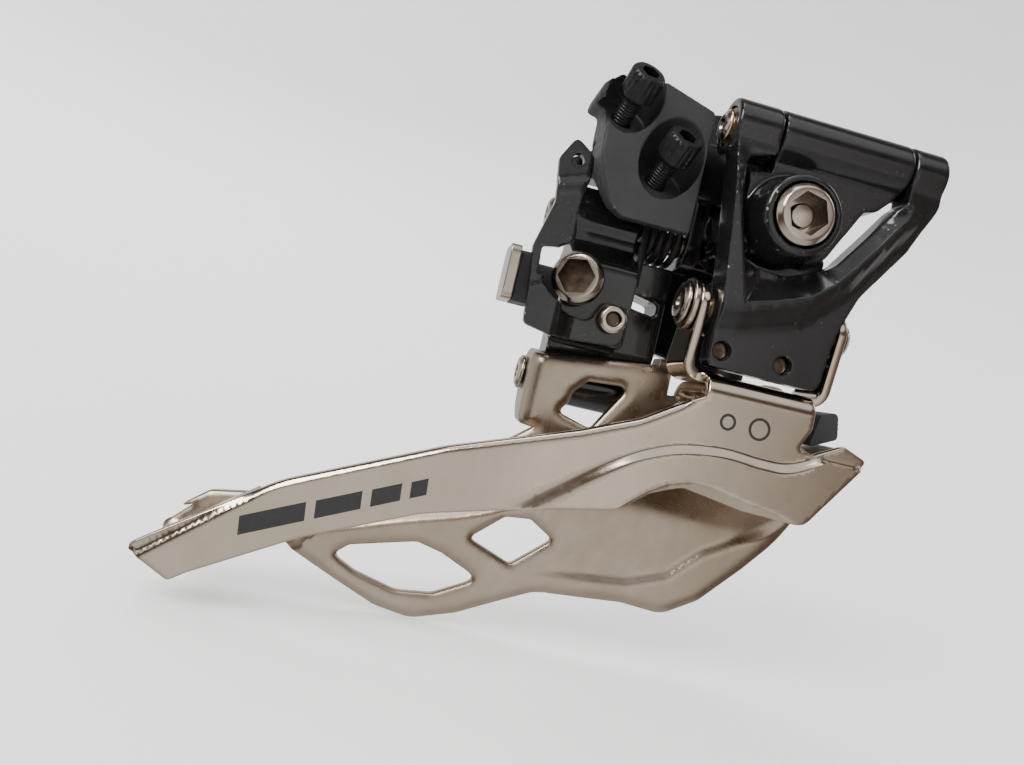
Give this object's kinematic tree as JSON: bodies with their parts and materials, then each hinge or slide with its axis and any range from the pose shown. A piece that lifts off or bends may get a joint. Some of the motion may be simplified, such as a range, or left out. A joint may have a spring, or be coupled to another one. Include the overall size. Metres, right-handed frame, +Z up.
{
  "type": "front derailleur",
  "caption": "Direct-mount bicycle front derailleur: a black parallelogram linkage on a bolted body carries a long steel chain cage, with limit screws and a cable clamp.",
  "frame": {"origin": "middle of the mounting pad's flat face, 7.5 mm above the mount bolt's axis", "axes": "+Z up along the seat tube, +Y out of the mounting pad towards the bicycle's middle plane, +X forward along the pivot axes"},
  "size_m": [0.1038, 0.04, 0.0927],
  "materials": {
    "gloss_black": "gloss black paint over die-cast or pressed metal",
    "matte_black": "moulded black plastic, fine matte grain",
    "screw_black": "black oxide on steel",
    "nickel_sheet": "warm nickel plate on pressed steel, satin to polished",
    "nickel_bolt": "bright nickel plate on steel",
    "bush_bronze": "plain sintered bronze",
    "spring_black": "dark phosphated spring wire"
  },
  "bodies": {
    "mount_frame": {"derailleur_body": "gloss_black", "limit_screw_block": "matte_black", "mount_bolt": "nickel_bolt", "mount_washer": "nickel_bolt", "outer_upper_pin": "nickel_bolt", "inner_upper_pin": "nickel_bolt", "return_spring": "spring_black"},
    "outer_link": {"outer_link": "gloss_black", "outer_upper_rear_bush": "bush_bronze", "outer_upper_front_bush": "bush_bronze", "outer_lower_bush": "bush_bronze"},
    "inner_link": {"inner_link": "gloss_black", "inner_upper_bush": "bush_bronze", "inner_lower_bush": "bush_bronze", "cable_anchor_bolt": "nickel_bolt", "cable_guide_arm": "gloss_black", "guide_arm_rivet": "nickel_bolt", "cable_stop_plate": "nickel_bolt", "cable_stop_block": "matte_black"},
    "cage": {"cage_outer_plate": "nickel_sheet", "cage_inner_plate": "nickel_sheet", "inner_pivot_bracket": "nickel_sheet", "bracket_rivet_upper": "nickel_bolt", "bracket_rivet_lower": "nickel_bolt", "flange_rivet_rear": "nickel_bolt", "flange_rivet_front": "nickel_bolt", "front_bridge": "nickel_sheet", "nose_pad": "matte_black", "tail_bridge": "nickel_sheet", "outer_lower_pin": "nickel_bolt", "inner_lower_pin": "nickel_bolt", "outer_lower_washer": "nickel_bolt"},
    "low_limit_screw": {"low_limit_screw": "screw_black"},
    "high_limit_screw": {"high_limit_screw": "screw_black"}
  },
  "joints": [
    {"name": "outer_link_swing", "type": "hinge", "parent": "mount_frame", "child": "outer_link", "pos_m": [0, -0.022, 0.0047], "axis": [-1, 0, 0], "range_deg": [0, 28], "stiffness_Nm_per_rad": 0.25, "springref_deg": -45.84},
    {"name": "cage_swing", "type": "hinge", "parent": "outer_link", "child": "cage", "pos_m": [0, -0.02, -0.0222], "axis": [-1, 0, 0], "range_deg": [-28, 0]},
    {"name": "inner_link_swing", "type": "hinge", "parent": "mount_frame", "child": "inner_link", "pos_m": [0, -0.0052, -0.0109], "axis": [-1, 0, 0], "range_deg": [0, 28], "deforming": ["return_spring"]},
    {"name": "low_limit_screw_turn", "type": "hinge", "parent": "mount_frame", "child": "low_limit_screw", "pos_m": [-0.0251, -0.021, 0.0075], "axis": [0.1672, -0.7407, 0.6507], "continuous": true},
    {"name": "high_limit_screw_turn", "type": "hinge", "parent": "mount_frame", "child": "high_limit_screw", "pos_m": [-0.0175, -0.021, -0.0001], "axis": [0.1672, -0.7407, 0.6507], "continuous": true}
  ],
  "couplings": [
    {"joint": "cage_swing", "follows": "outer_link_swing", "ratio": -1},
    {"joint": "inner_link_swing", "follows": "outer_link_swing", "ratio": 1}
  ]
}
